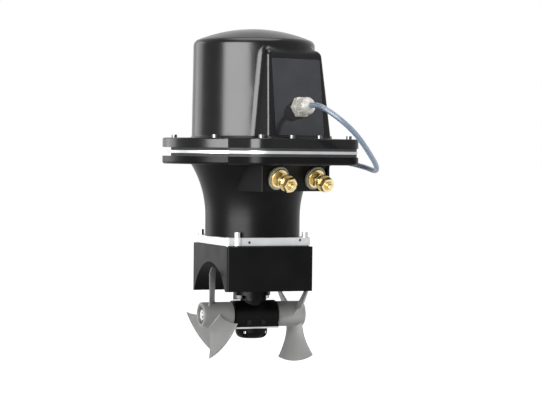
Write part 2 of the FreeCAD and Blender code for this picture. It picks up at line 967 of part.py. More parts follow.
def gland_seal():
    top = gland_neck_top() + 2
    seal = tube(gland_bore_radius - fit_gap, cable_radius + fit_gap, top - gland_seal_height, top)
    return on_gland(seal)


def exit_frame():
    """Start of the cable on the seal's outer end, and the direction it leaves in."""
    out = Part.makeLine(Vec(0, 0, gland_neck_top() + 2), Vec(0, 0, gland_neck_top() + 3))
    placed = on_gland(out)
    start = placed.Vertexes[0].Point
    return start, (placed.Vertexes[1].Point - start).normalize()


# ================================================================ control cable
def cable_points():
    start, out = exit_frame()
    points = [start, start + out * cable_first_run]
    for angle, out, up in CABLE_ROUTE:
        reach = flange_radius + out
        points.append(Vec(reach * math.cos(math.radians(angle)),
                          reach * math.sin(math.radians(angle)), flange_bottom_z + up))
    return points


def arc_radii(points):
    radii = []
    for before, here, after in zip(points, points[1:], points[2:]):
        half_turn = (here - before).getAngle(after - here) / 2
        shorter = min((here - before).Length, (after - here).Length)
        radii.append(0.45 * shorter / math.tan(half_turn))
    return radii


def cable_path(points):
    """Straight runs joined by arcs tangent to both."""
    edges = []
    at = points[0]
    for before, here, after, radius in zip(points, points[1:], points[2:], arc_radii(points)):
        into = (here - before).normalize()
        away = (after - here).normalize()
        half_turn = into.getAngle(away) / 2
        reach = radius * math.tan(half_turn)
        start = here - into * reach
        end = here + away * reach
        inward = (away - into).normalize()
        middle = here + inward * (radius / math.cos(half_turn) - radius)
        edges.append(Part.LineSegment(at, start).toShape())
        edges.append(Part.Arc(start, middle, end).toShape())
        at = end
    edges.append(Part.LineSegment(at, points[-1]).toShape())
    return Part.Wire(edges)


def control_cable():
    points = cable_points()
    path = cable_path(points)
    first = (points[1] - points[0]).normalize()
    section = Part.Wire([Part.makeCircle(cable_radius, points[0], first)])
    solid = path.makePipeShell([section], True, True)
    radii = arc_radii(points)
    ideal = math.pi * cable_radius ** 2 * path.Length
    print("cable points:", [tuple(round(c, 1) for c in point) for point in points])
    print("cable arc radii:", [round(radius, 1) for radius in radii])
    print("shortest allowed about:", cable_shortest_radius * 2)
    print("cable length %.1f mm, volume / (section x length) %.4f" % (path.Length, solid.Volume / ideal))
    return solid


def cable_clips():
    """Edge clips gripping the lower flange's rim, each with a loop round the cable."""
    points = cable_points()
    clips = []
    for run in CLIP_RUNS:
        centre = (points[run] + points[run + 1]) * 0.5
        along = (points[run + 1] - points[run]).normalize()
        loop_radius = cable_radius + clip_gap + clip_wall
        reach = math.hypot(centre.x, centre.y)
        inner = flange_radius - clip_reach
        web = flange_radius + 0.2
        jaws = box(inner, web + clip_wall, -clip_width / 2, clip_width / 2,
                   flange_bottom_z - 0.1 - clip_wall, flange_top_z + 0.1 + clip_wall)
        mouth = box(inner - 1, web, -clip_width, clip_width,
                    flange_bottom_z - 0.1, flange_top_z + 0.1)
        arm = box(web, reach, -clip_width / 2, clip_width / 2,
                  centre.z - clip_wall / 2, centre.z + clip_wall / 2)
        clip = join([jaws.cut(mouth), arm])
        clip = turned(clip, math.degrees(math.atan2(centre.y, centre.x)))
        start = centre - along * (clip_width / 2)
        loop = Part.makeCylinder(loop_radius, clip_width, start, along)
        hole = Part.makeCylinder(cable_radius + clip_gap, clip_width + 20, start - along * 10, along)
        clips.append(join([clip, loop]).cut(hole))
    return group(clips)


def control_plug():
    top = 0.0
    boot_end = top - plug_boot_length
    end = boot_end - plug_length
    ring_low = end + 4
    outline = [(0, top), (plug_boot_radius, top), (plug_radius - 1.5, boot_end + 3),
               (plug_radius - 1.5, boot_end), (plug_radius, boot_end - 1),
               (plug_radius, ring_low + plug_ring_length), (plug_ring_radius, ring_low + plug_ring_length),
               (plug_ring_radius, ring_low), (plug_radius, ring_low), (plug_radius, end + 0.8),
               (plug_radius - 0.8, end), (plug_radius - 1.5, end), (plug_radius - 1.5, end + 6),
               (0, end + 6)]
    body = lathe(outline)
    pin = post(0.8, end + 1, end + 7, 3.0, 0)
    body = join([body] + ring_of(pin, 4))
    last = cable_points()[-1]
    return moved(body, last.x, last.y, last.z)


# ================================================================ saddle and base plate
def plate_screw_places():
    half_x, half_y = plate_length / 2, plate_width / 2
    near = (-half_x + plate_near_screw_end_inset, -half_y + plate_near_screw_side_inset)
    corner = (half_x - plate_corner_screw_end_inset, -half_y + plate_corner_screw_side_inset)
    places = []
    for x, y in (near, corner):
        places += [(x, y), (-x, -y)]
    return places


def saddle():
    half_x, half_y = saddle_length / 2, saddle_width / 2
    low_z = min(saddle_front_foot_z, saddle_back_foot_z)
    block = box(-half_x, half_x, -half_y, half_y, low_z, saddle_top_z)
    block = rounded(block, saddle_corner, upright)
    far = saddle_length
    cuts = [box(-far, far, -far, 0, low_z - 1, saddle_front_foot_z),
            box(-far, far, 0, far, low_z - 1, saddle_back_foot_z),
            bar(tunnel_outer_radius, -half_x - 1, half_x + 1),
            post(spigot_radius + fit_gap, 0, saddle_top_z + 1)]
    cuts += [post(leg_bolt_radius + fit_gap, 0, leg_bolt_top() + 1, x) for x in (-leg_bolt_x, leg_bolt_x)]
    low = saddle_top_z - plate_screw_depth - 1
    cuts += [post(plate_screw_radius + fit_gap, low, saddle_top_z + 1, x, y)
             for x, y in plate_screw_places()]
    return trim(block, cuts)


def leg_bolt_top():
    return tunnel_outer_radius + leg_bolt_reach


def plate_gasket():
    half_x, half_y = plate_length / 2 - plate_gasket_inset, plate_width / 2 - plate_gasket_inset
    sheet = box(-half_x, half_x, -half_y, half_y, saddle_top_z, plate_bottom_z)
    sheet = rounded(sheet, plate_corner, upright)
    cuts = [post(spigot_radius + 1, 0, plate_top_z)]
    radius = plate_screw_radius + screw_gap
    cuts += [post(radius, saddle_top_z - 1, plate_top_z, x, y) for x, y in plate_screw_places()]
    return trim(sheet, cuts)


def base_plate():
    half_x, half_y = plate_length / 2, plate_width / 2
    z0, z1 = plate_bottom_z, plate_top_z
    sheet = rounded(box(-half_x, half_x, -half_y, half_y, z0, z1), plate_corner, upright)
    lugs = [post(plate_lug_radius, z0, z1, x, y) for x, y in plate_screw_places()]
    plate = join([sheet] + lugs)
    bearing_low = z1 - plate_bearing_height
    cuts = [post(plate_bearing_radius + fit_gap, bearing_low, z1 + 1),
            post(drive_seal_radius, z0 - 1, z1)]
    for x, height in plate_side_holes:
        hole = post(plate_side_hole_radius, -plate_side_hole_depth, 1)
        cuts.append(moved(from_face(hole, z0 + height, 0.0, half_y), x))
    radius = plate_screw_radius + screw_gap
    cuts += [post(radius, z0 - 1, z1 + 1, x, y) for x, y in plate_screw_places()]
    for place in bell_screw_places():
        centre = housed(Part.Vertex(Vec(place[0], place[1], 0))).Point
        cuts.append(post(bell_screw_radius + screw_gap, z0 - 1, z1 + 1, centre.x, centre.y))
        cuts.append(post(bell_screw_head_radius + screw_gap, z0 - 1,
                         z0 + bell_screw_head_height, centre.x, centre.y))
    return trim(plate, cuts)


def base_screws():
    z1 = plate_top_z
    low = saddle_top_z - plate_screw_depth
    head_low = z1 + plate_screw_washer
    head_top = head_low + plate_screw_head_height
    screws = []
    for x, y in plate_screw_places():
        shank = post(plate_screw_radius, low, head_low, x, y)
        washer = post(plate_screw_head_radius, z1, head_low, x, y)
        head = post(plate_screw_head_radius - 0.5, head_low, head_top, x, y)
        socket = hexagon(plate_screw_socket, head_top - 3, head_top + 1, x, y)
        screws.append(join([shank, washer, head]).cut(socket))
    return group(screws)


# ================================================================ gear leg
def leg_housing():
    left, right = -gearcase_left, gearcase_right
    barrel = bar(gearcase_radius, left, right)
    block = box(left, right, -gearcase_block_half_width, gearcase_block_half_width,
                gearcase_block_bottom_z, gearcase_block_top_z)
    neck = lathe([(0, 0), (neck_foot_radius, 0), (neck_top_radius, collar_bottom_z + 1),
                  (0, collar_bottom_z + 1)])
    collar = post(collar_radius, collar_bottom_z, tunnel_outer_radius)
    collar = collar.common(bar(tunnel_bore_radius, -collar_radius - 1, collar_radius + 1))
    spigot = post(spigot_radius, collar_bottom_z, saddle_top_z)
    body = join([barrel, block, neck, collar, spigot])
    seal_low = saddle_top_z - drive_seal_height
    ring_z = (tunnel_outer_radius + saddle_top_z) / 2
    ring_groove = tube(spigot_radius + 1, spigot_radius - ring_seal_section,
                       ring_z - ring_seal_section, ring_z + ring_seal_section)
    cavity = gearcase_cavity_half_length
    seat = prop_bearing_radius + fit_gap
    low = gearcase_block_bottom_z
    cuts = [
        box(left - 1, right + 1, -gearcase_radius - 1, gearcase_radius + 1, low - gearcase_radius, low),
        bar(gearcase_cavity_radius, -cavity, cavity),
        post(gearcase_cavity_radius, gearcase_block_bottom_z - 1, 0),
        bar(seat, left - 1, right + 1),
        post(pinion_hole_radius, 0, pinion_bearing_z + 1),
        post(leg_bore_radius + fit_gap, pinion_bearing_z, saddle_top_z + 1),
        post(drive_seal_radius + fit_gap, seal_low, saddle_top_z + 1),
        ring_groove,
    ]
    for x in (-leg_bolt_x, leg_bolt_x):
        cuts.append(post(leg_bolt_radius + screw_gap, gearcase_radius, tunnel_outer_radius, x))
        cuts.append(box(x - leg_bolt_pocket, x + leg_bolt_pocket, -collar_radius - 1, leg_bolt_pocket,
                        gearcase_radius, leg_bolt_seat_z))
    cuts += [cap_screw_hole(x, y) for x, y in cap_screw_places()]
    cuts += [on_block_front(x, post(oil_plug_shank + fit_gap, -oil_plug_depth, 1))
             for x in (-oil_plug_x, oil_plug_x)]
    groove_z = (gearcase_block_top_z + gearcase_block_bottom_z) / 2 - 1.5
    width = gearcase_block_half_width
    frame = box(left - 1, right + 1, -width - 1, width + 1, groove_z, groove_z + gearcase_groove)
    core = box(left + gearcase_groove, right - gearcase_groove, -width + gearcase_groove,
               width - gearcase_groove, groove_z - 1, groove_z + gearcase_groove + 1)
    cuts.append(frame.cut(core))
    return trim(body, cuts)


def on_block_front(x, shape):
    return moved(from_face(shape, oil_plug_z, 0.0, gearcase_block_half_width), x)


def oil_plugs():
    head = post(oil_plug_radius, 0, oil_plug_height)
    shank = post(oil_plug_shank, -oil_plug_depth + 0.5, 0.5)
    slot = box(-oil_plug_radius, oil_plug_radius, -0.4, 0.4, oil_plug_height / 2, 5)
    plug = head.fuse(shank).cut(slot)
    return group([on_block_front(x, plug) for x in (-oil_plug_x, oil_plug_x)])


def leg_bolts():
    bolts = []
    top = leg_bolt_seat_z
    for x in (-leg_bolt_x, leg_bolt_x):
        head = hexagon(leg_bolt_across, top - leg_bolt_head_height, top, x)
        shank = post(leg_bolt_radius, top - 1, leg_bolt_top(), x)
        bolts.append(head.fuse(shank))
    return group(bolts)


def spigot_ring():
    z = (tunnel_outer_radius + saddle_top_z) / 2
    section = ring_seal_section / 2
    centre = spigot_radius - section
    return Part.makeTorus(centre, section - fit_gap, Vec(0, 0, z))


def bottom_z():
    return gearcase_block_bottom_z - bottom_plate_thickness


def cap_screw_places():
    return [polar(cap_screw_circle, 45 + 360.0 * i / cap_screw_count) for i in range(cap_screw_count)]


def cap_screw_hole(x, y):
    return post(cap_screw_radius + fit_gap, bottom_z() - 20,
                gearcase_block_bottom_z + cap_screw_reach + 1, x, y)


def bottom_plate():
    width = gearcase_block_half_width
    sheet = box(-gearcase_left, gearcase_right, -width, width, bottom_z(), gearcase_block_bottom_z)
    return trim(sheet, [cap_screw_hole(x, y) for x, y in cap_screw_places()])


def bottom_cap():
    top = bottom_z()
    low = top - cap_height
    straight = top - cap_straight
    start = Vec(cap_radius, 0, straight)
    bulge = Vec((cap_radius + cap_foot_radius) / 2 + 2.2, 0, (straight + low) / 2 - 1.6)
    end = Vec(cap_foot_radius, 0, low)
    edges = [
        Part.makeLine(Vec(0, 0, top), Vec(cap_radius, 0, top)),
        Part.makeLine(Vec(cap_radius, 0, top), start),
        Part.Arc(start, bulge, end).toShape(),
        Part.makeLine(end, Vec(0, 0, low)),
        Part.makeLine(Vec(0, 0, low), Vec(0, 0, top)),
    ]
    cap = Part.Face(Part.Wire(edges)).revolve(ORIGIN, Z_AXIS, 360)
    seat = top - cap_screw_seat
    cuts = []
    for x, y in cap_screw_places():
        cuts.append(cap_screw_hole(x, y))
        cuts.append(post(cap_screw_head_radius + screw_gap, low - 1, seat, x, y))
    return trim(cap, cuts)


def cap_screws():
    seat = bottom_z() - cap_screw_seat
    screws = []
    for x, y in cap_screw_places():
        head = post(cap_screw_head_radius, seat - cap_screw_head_height, seat, x, y)
        shank = post(cap_screw_radius, seat - 0.5, gearcase_block_bottom_z + cap_screw_reach, x, y)
        socket = hexagon(2.5, seat - cap_screw_head_height - 1, seat - 1.4, x, y)
        screws.append(head.fuse(shank).cut(socket))
    return group(screws)


# ================================================================ bevel gears
def pitch_radius(teeth):
    return gear_module * teeth / 2


def cone_distance():
    return math.hypot(pitch_radius(pinion_teeth), pitch_radius(crown_teeth))


def involute_half_width(radius, pitch, half_angle):
    """Half the width of a tooth of a spur gear at a radius, thinned by the backlash."""
    base = pitch * math.cos(math.radians(pressure_angle))
    if radius < base:
        radius_angle = 0.0
    else:
        radius_angle = math.acos(base / radius)
    here = math.tan(radius_angle) - radius_angle
    flat = math.radians(pressure_angle)
    at_pitch = math.tan(flat) - flat
    return radius * (half_angle + at_pitch - here) - gear_backlash / 4


def tooth_outline(teeth, mate):
    """(height above the pitch line, half width) pairs at the outer end, root to tip."""
    cone = math.atan(teeth / mate)
    pitch = pitch_radius(teeth) / math.cos(cone)
    half_angle = math.pi / 2 / (teeth / math.cos(cone))
    low = -dedendum_share * gear_module
    high = addendum_share * gear_module
    pairs = []
    steps = 5
    for i in range(steps + 1):
        height = low + (high - low) * i / steps
        pairs.append((height, involute_half_width(pitch + height, pitch, half_angle)))
    first = pairs[0]
    return [(first[0] - 0.5, first[1])] + pairs


def cone_ways(teeth, mate):
    """Directions along the pitch cone and square to it, away from the gear's axis."""
    cone = math.atan(teeth / mate)
    return Vec(math.sin(cone), 0, math.cos(cone)), Vec(math.cos(cone), 0, -math.sin(cone))


def gear_back(teeth, mate):
    """Radius and height of the root at the gear's outer end."""
    along, out = cone_ways(teeth, mate)
    point = along * cone_distance() - out * (dedendum_share * gear_module)
    return point.x, point.z


def bevel_gear(teeth, mate, phase, hub):
    """Gear about +Z with the cones' apex at the origin, teeth phase in degrees from +X.

    hub lists the (radius, height) points behind the teeth."""
    distance = cone_distance()
    along, out = cone_ways(teeth, mate)
    side = Vec(0, 1, 0)
    pairs = tooth_outline(teeth, mate)
    outline = [(h, -w) for h, w in pairs] + [(h, w) for h, w in reversed(pairs)]
    wires = []
    for reach in (distance, distance - gear_face):
        scale = reach / distance
        points = [(along * distance + out * h + side * w) * scale for h, w in outline]
        points.append(points[0])
        wires.append(Part.makePolygon(points))
    tooth = Part.makeLoft(wires, True, True)
    back_r, back_z = gear_back(teeth, mate)
    share = (distance - gear_face) / distance
    blank = lathe([(0, back_z * share), (back_r * share, back_z * share), (back_r, back_z)]
                  + hub + [(0, hub[-1][1])])
    return join([blank] + ring_of(tooth, teeth, phase))


def drive_pinion():
    back_r, back_z = gear_back(pinion_teeth, crown_teeth)
    hub_top = back_z + pinion_hub_length
    gear = bevel_gear(pinion_teeth, crown_teeth, 0.0, [(back_r, hub_top)])
    return gear.cut(post(drive_tip_radius + fit_gap, drive_tip_z - 0.5, hub_top + 1))


def crown_gear():
    back_r, back_z = gear_back(crown_teeth, pinion_teeth)
    hub = [(back_r, back_z + 1.5), (crown_hub_radius, back_z + 3.0), (crown_hub_radius, crown_back)]
    gear = bevel_gear(crown_teeth, pinion_teeth, 180.0 / crown_teeth, hub)
    gear = gear.cut(post(prop_shaft_radius + fit_gap, -20, 40))
    return turned(gear, 90, Vec(0, 1, 0))


# ================================================================ shafts and bearings
def coupling_z():
    return plate_top_z + coupling_bottom


def drive_shaft():
    top = coupling_z() + coupling_hub_height - 0.5
    step = pinion_bearing_z + pinion_bearing_height
    tip_top = pinion_bearing_z - 1
    return join([
        post(drive_shaft_radius, step, top),
        post(drive_tail_radius, tip_top, step + 1),
        post(drive_tip_radius, drive_tip_z, tip_top + 1),
    ])


def pinion_bearing():
    z0 = pinion_bearing_z
    return bearing(leg_bore_radius, drive_tail_radius + run_gap, z0, z0 + pinion_bearing_height)


def bearing(outer, inner, z0, z1):
    """Ball bearing with shields, its rings parted by a shallow groove each side."""
    body = tube(outer, inner, z0, z1)
    mid = (outer + inner) / 2
    wide = (outer - inner) * 0.2
    for low, high in ((z0 - 1, z0 + 0.5), (z1 - 0.5, z1 + 1)):
        body = body.cut(tube(mid + wide, mid - wide, low, high))
    return body


def plate_bearing():
    z1 = plate_top_z
    return bearing(plate_bearing_radius, drive_shaft_radius + run_gap, z1 - plate_bearing_height, z1)


def drive_seal():
    z1 = saddle_top_z
    return tube(drive_seal_radius, drive_shaft_radius + run_gap, z1 - drive_seal_height, z1)


def prop_bearings():
    x0 = gearcase_cavity_half_length
    one = bearing(prop_bearing_radius, prop_shaft_radius + run_gap, x0, x0 + prop_bearing_width)
    right = turned(one, 90, Vec(0, 1, 0))
    return group([right, turned(right, 180)])


def prop_seals():
    rings = []
    for side, reach in ((-1, gearcase_left), (1, gearcase_right)):
        x1 = reach - prop_seal_depth
        ends_x = sorted((side * (x1 - prop_seal_width), side * x1))
        rings.append(ring_on_x(prop_bearing_radius, prop_shaft_radius + run_gap, *ends_x))
    return group(rings)


def propeller_shaft():
    """Turned from one bar, a thread for the nut at each end and cross holes for the pins."""
    step = hub_outer_x - hub_recess_depth
    end = step + hub_washer_thickness + hub_nut_height + 1.0
    shaft = join([bar(prop_shaft_radius, -step, step), bar(prop_thread_radius, -end, end)])
    pins = [post(drive_pin_radius + fit_gap, -20, 20, x) for x in (-drive_pin_x, drive_pin_x)]
    return trim(shaft, pins)


def drive_pins():
    half = drive_pin_half_length
    return group([post(drive_pin_radius, -half, half, x) for x in (-drive_pin_x, drive_pin_x)])


# ================================================================ coupling
def jaw(radius, z0, z1, start, span):
    inner = radius * 0.42
    steps = 6
    points = [polar(inner, start + span * i / steps) for i in range(steps + 1)]
    points += [polar(radius, start + span * (steps - i) / steps) for i in range(steps + 1)]
    return prism(points, z0, z1)


def coupling_half(z0, z1, jaw_low, jaw_high, start, bore):
    pitch = 360.0 / coupling_jaws
    hub = lathe([(0, z0), (coupling_radius, z0), (coupling_radius, z1), (0, z1)])
    jaws = [jaw(coupling_radius, jaw_low, jaw_high, start + pitch * i, pitch * coupling_jaw_share)
            for i in range(coupling_jaws)]
    return join([hub] + jaws).cut(post(bore + fit_gap, z0 - 1, z1 + 1))


def coupling_levels():
    low = coupling_z()
    lower_top = low + coupling_hub_height
    upper_low = lower_top + coupling_jaw_height + 2 * coupling_gap
    return low, lower_top, upper_low, upper_low + coupling_hub_height


def coupling_lower():
    low, top = coupling_levels()[:2]
    return coupling_half(low, top, top - 1, top + coupling_jaw_height, 0.0, drive_shaft_radius)


def coupling_upper():
    _, lower_top, low, top = coupling_levels()
    start = 180.0 / coupling_jaws
    return coupling_half(low, top, lower_top + 2 * coupling_gap, low + 1, start, motor_shaft_radius)


def coupling_spider():
    _, lower_top, upper_low, _ = coupling_levels()
    z0, z1 = lower_top + coupling_gap, upper_low - coupling_gap
    half_pitch = 180.0 / coupling_jaws
    used = 360.0 / coupling_jaws * coupling_jaw_share
    gap_angle = math.degrees(coupling_gap / (coupling_radius * 0.42))
    span = half_pitch - used - 2 * gap_angle
    pads = [jaw(coupling_radius - 0.5, z0, z1, used + gap_angle + half_pitch * i, span)
            for i in range(2 * coupling_jaws)]
    core = tube(coupling_radius * 0.42 - coupling_gap, drive_shaft_radius + 1, z0, z1)
    bridge = [jaw_bridge(z0, z1, used + gap_angle + half_pitch * i, span)
              for i in range(2 * coupling_jaws)]
    return join([core] + pads + bridge)


def jaw_bridge(z0, z1, start, span):
    inner = coupling_radius * 0.42 - 1.5
    outer = coupling_radius * 0.42 + 1.0
    points = [polar(inner, start), polar(inner, start + span),
              polar(outer, start + span), polar(outer, start)]
    return prism(points, z0, z1)


# ================================================================ motor
def can_low():
    return motor_plate_top_z - can_below


def can_high():
    return motor_plate_top_z + can_above


def motor_screw_places():
    return [polar(motor_screw_circle, 30 + 360.0 * i / motor_screw_count)
            for i in range(motor_screw_count)]


def motor_screw_hole(x, y):
    return post(motor_screw_radius + fit_gap, motor_plate_bottom_z - 1,
                motor_plate_top_z + can_flange_thickness + 1, x, y)


def motor_can():
    z0 = motor_plate_top_z
    body = join([post(can_radius, can_low(), can_high()),
                 post(can_flange_radius, z0, z0 + can_flange_thickness)])
    cuts = [post(can_radius - can_wall, can_low() - 1, can_high() + 1)]
    return housed(trim(body, cuts + [motor_screw_hole(x, y) for x, y in motor_screw_places()]))


def motor_screws():
    low = motor_plate_bottom_z
    seat = motor_plate_top_z + can_flange_thickness
    screws = []
    for x, y in motor_screw_places():
        shank = post(motor_screw_radius, low, seat, x, y)
        head = post(motor_screw_head_radius, seat, seat + motor_screw_head_height, x, y)
        screws.append(shank.fuse(head))
    return housed(group(screws))


def end_bracket(seat_z, outward):
    """Cap on one end of the can; outward is +1 at the top and -1 at the bottom."""
    spigot = can_radius - can_wall - fit_gap
    levels = sorted((seat_z, seat_z + outward * bracket_thickness))
    inner = sorted((seat_z, seat_z - outward * bracket_spigot))
    boss = sorted((seat_z, seat_z + outward * (bracket_thickness + bearing_boss_height)))
    body = join([post(can_radius, *levels), post(spigot, *inner), post(bearing_boss_radius, *boss)])
    seat = sorted((seat_z - outward * 20, bearing_far(seat_z, outward)))
    cuts = [post(motor_bearing_radius + fit_gap, *seat),
            post(motor_shaft_radius + 2, seat_z - 40, seat_z + 40)]
    cuts += ring_of(post(7.0, seat_z - 30, seat_z + 30, 36, 0), 4, 45)
    return housed(trim(body, cuts))


def bearing_far(seat_z, outward):
    return seat_z + outward * (bracket_thickness + bearing_boss_height - 2)


def motor_bearings():
    rings = []
    for seat_z, outward in ((can_low(), -1), (can_high(), 1)):
        far = bearing_far(seat_z, outward)
        z0, z1 = sorted((far, far - outward * motor_bearing_height))
        rings.append(bearing(motor_bearing_radius, motor_shaft_radius + run_gap, z0, z1))
    return group(rings)


def magnet_levels():
    low = can_low() + magnet_bottom
    return low, low + magnet_length


def field_magnets():
    z0, z1 = magnet_levels()
    outer = can_radius - can_wall - fit_gap
    ring = tube(outer, outer - magnet_thickness, z0, z1)
    half = math.radians(magnet_span / 2)
    far = 2 * outer
    wedge = prism([(0, 0), (far * math.cos(half), -far * math.sin(half)),
                   (far * math.cos(half), far * math.sin(half))], z0 - 1, z1 + 1)
    return housed(group([ring.common(turned(wedge, 45 + 90 * i)) for i in range(4)]))


def armature_levels():
    z0, z1 = magnet_levels()
    spare = (z1 - z0 - armature_length) / 2
    return z0 + spare, z1 - spare


def armature_radius():
    return can_radius - can_wall - magnet_thickness - armature_gap


def armature_core():
    z0, z1 = armature_levels()
    radius = armature_radius()
    slot = box(radius - slot_depth, radius + 1, -slot_width / 2, slot_width / 2, z0 - 1, z1 + 1)
    core = post(radius, z0, z1)
    return trim(core, ring_of(slot, armature_slots) + [post(motor_shaft_radius + fit_gap, z0 - 1, z1 + 1)])


def armature_windings():
    """End turns at both ends, and the slot bars that join them, as one wound piece."""
    z0, z1 = armature_levels()
    inner = motor_shaft_radius + 3
    radius = armature_radius()
    rings = []
    for low in (z0 - winding_height, z1):
        ring = tube(winding_radius, inner, low, low + winding_height)
        edges = [edge for edge in ring.Edges if abs(edge.Length - 2 * math.pi * winding_radius) < 0.1]
        rings.append(ring.makeFillet(3.0, edges))
    slot = box(radius - slot_depth + 0.1, radius - 1, -slot_width / 2 + 0.1, slot_width / 2 - 0.1,
               z0 - 4, z1 + 4)
    return join(rings + ring_of(slot, armature_slots))


def commutator_levels():
    low = armature_levels()[1] + winding_height + 3
    return low, low + commutator_length


def commutator():
    z0, z1 = commutator_levels()
    body = post(commutator_radius, z0, z1)
    slot = box(commutator_radius - 1.5, commutator_radius + 1, -0.3, 0.3, z0 - 1, z1 + 1)
    return trim(body, ring_of(slot, commutator_bars) + [post(motor_shaft_radius + fit_gap, z0 - 1, z1 + 1)])


def motor_shaft():
    low = coupling_levels()[2] + 0.5
    high = bearing_far(can_high(), 1) + motor_shaft_top
    return rounded(post(motor_shaft_radius, low, high), 0.8, level_at(high))


def brush_level():
    z0, z1 = commutator_levels()
    return (z0 + z1) / 2


def brush_blocks():
    middle = brush_level()
    start = commutator_radius + brush_gap
    block = box(start, start + brush_length, -brush_width / 2, brush_width / 2,
                middle - brush_height / 2, middle + brush_height / 2)
    return ring_of(block, 4, 45)


def brushes():
    return housed(group(brush_blocks()))


def brush_holder():
    """Ring held in the can, with a box round each brush."""
    middle = brush_level()
    start = commutator_radius + 3
    half_w, half_h = brush_width / 2 + 2, brush_height / 2 + 2
    outer = can_radius - can_wall - fit_gap
    low = middle - half_h - brush_ring_thickness
    ring = tube(outer, start + 2, low, low + brush_ring_thickness)
    boxes = [box(start, start + brush_length, -half_w, half_w, low + 1, middle + half_h)]
    boxes = ring_of(boxes[0], 4, 45)
    gap = 0.1
    window = box(0, start + brush_length + 2, -brush_width / 2 - gap, brush_width / 2 + gap,
                 middle - brush_height / 2 - gap, middle + brush_height / 2 + gap)
    return housed(trim(join([ring] + boxes), ring_of(window, 4, 45)))


# ================================================================ propellers
def blade_section(radius, chord, thickness, pitch):
    """Lens section of a blade that points along +Z, at a height."""
    angle = math.radians(pitch)
    chord_way = Vec(math.sin(angle), math.cos(angle), 0)
    thick_way = Vec(math.cos(angle), -math.sin(angle), 0)
    centre = Vec(0, 0, radius)
    lead = centre + chord_way * (chord / 2)
    trail = centre - chord_way * (chord / 2)
    front = centre + thick_way * (thickness / 2)
    back = centre - thick_way * (thickness / 2)
    edge = thick_way * (blade_edge / 2)
    return Part.Wire([
        Part.Arc(lead + edge, front, trail + edge).toShape(),
        Part.makeLine(trail + edge, trail - edge),
        Part.Arc(trail - edge, back, lead - edge).toShape(),
        Part.makeLine(lead - edge, lead + edge),
    ])


def blade():
    """One blade pointing down, -Z, cut to the tip circle."""
    solid = Part.makeLoft([blade_section(*section) for section in BLADE_SECTIONS], True)
    tip = bar(prop_tip_radius, -prop_tip_radius, prop_tip_radius)
    return turned(solid.common(tip), 180, X_AXIS)


def propeller(side, case_end, blade_station, start):
    """Propeller on the +X or -X end; its first blade stands start degrees from -Z to -Y."""
    inner_x = case_end + hub_gap
    hub = lathe([(0, inner_x), (hub_radius, inner_x), (hub_radius, hub_outer_x), (0, hub_outer_x)])
    hub = rounded(hub, hub_round, level_at(hub_outer_x))
    hub = turned(hub, 90 * side, Vec(0, 1, 0))
    blades = []
    for i in range(blade_count):
        blades.append(moved(turned(blade(), -start - 360.0 * i / blade_count, X_AXIS),
                            side * blade_station))
    body = join([hub] + blades)
    far = side * (hub_outer_x + 1)
    near = side * (hub_outer_x - hub_recess_depth)
    recess = bar(hub_recess_radius, *sorted((near, far)))
    bore = bar(prop_shaft_radius + fit_gap, *sorted((side * (inner_x - 1), far)))
    pin = post(drive_pin_radius + fit_gap, -drive_pin_half_length - 0.3,
               drive_pin_half_length + 0.3, side * drive_pin_x)
    return trim(body, [recess, bore, pin])


def hub_nuts():
    """A washer and a nut against each hub's recess floor."""
    seat = hub_outer_x - hub_recess_depth
    washer_top = seat + hub_washer_thickness
    washer = tube(hub_washer_radius, prop_thread_radius + fit_gap, seat, washer_top)
    nut = hexagon(hub_nut_across, washer_top, washer_top + hub_nut_height)
    nut = nut.cut(post(prop_thread_radius + fit_gap, washer_top - 1, washer_top + 20))
    right = turned(join([washer, nut]), 90, Vec(0, 1, 0))
    return group([right, turned(right, 180)])


# ================================================================ all nodes
NODES = {
    "motor_cover": motor_cover,
    "label_panel": label_panel,
    "cover_screws": cover_screws,
    "seam_gaskets": lambda: housed(group([gasket(motor_plate_top_z), gasket(flange_top_z)])),
    "motor_plate": lambda: housed(motor_plate()),
    "bell_housing": bell_housing,
    "bell_screws": bell_screws,
    "terminal_studs": terminal_studs,
    "terminal_nuts": terminal_nuts,
    "terminal_washers": terminal_washers,
    "terminal_insulators": terminal_insulators,
    "bus_bars": bus_bars,
    "contactors": contactors,
    "gland_body": gland_body,
    "gland_lock_nut": gland_lock_nut,
    "gland_nut": gland_nut,
    "gland_seal": gland_seal,
    "control_cable": control_cable,
    "cable_clips": cable_clips,
    "control_plug": control_plug,
    "base_plate": base_plate,
    "base_screws": base_screws,
    "plate_gasket": plate_gasket,
    "saddle": saddle,
    "leg_housing": leg_housing,
    "leg_bolts": leg_bolts,
    "spigot_ring": spigot_ring,
    "oil_plugs": oil_plugs,
    "bottom_plate": bottom_plate,
    "bottom_cap": bottom_cap,
    "cap_screws": cap_screws,
    "motor_can": motor_can,
    "motor_screws": motor_screws,
    "drive_end_bracket": lambda: end_bracket(can_low(), -1),
    "brush_end_bracket": lambda: end_bracket(can_high(), 1),
    "motor_bearings": motor_bearings,
    "field_magnets": field_magnets,
    "armature_core": armature_core,
    "armature_windings": armature_windings,
    "commutator": commutator,
    "motor_shaft": motor_shaft,
    "brushes": brushes,
    "brush_holder": brush_holder,
    "coupling_lower": coupling_lower,
    "coupling_spider": coupling_spider,
    "coupling_upper": coupling_upper,
    "drive_shaft": drive_shaft,
    "plate_bearing": plate_bearing,
    "drive_seal": drive_seal,
    "pinion_bearing": pinion_bearing,
    "drive_pinion": drive_pinion,
    "crown_gear": crown_gear,
    "propeller_shaft": propeller_shaft,
    "prop_bearings": prop_bearings,
    "prop_seals": prop_seals,
    "drive_pins": drive_pins,
    "propeller_left": lambda: propeller(-1, gearcase_left, left_blade_station, left_blade_start),
    "propeller_right": lambda: propeller(1, gearcase_right, right_blade_station, right_blade_start),
    "hub_nuts": hub_nuts,
}

os.makedirs("parts", exist_ok=True)
for node, make in NODES.items():
    save(node, make())
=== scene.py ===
import json
import math

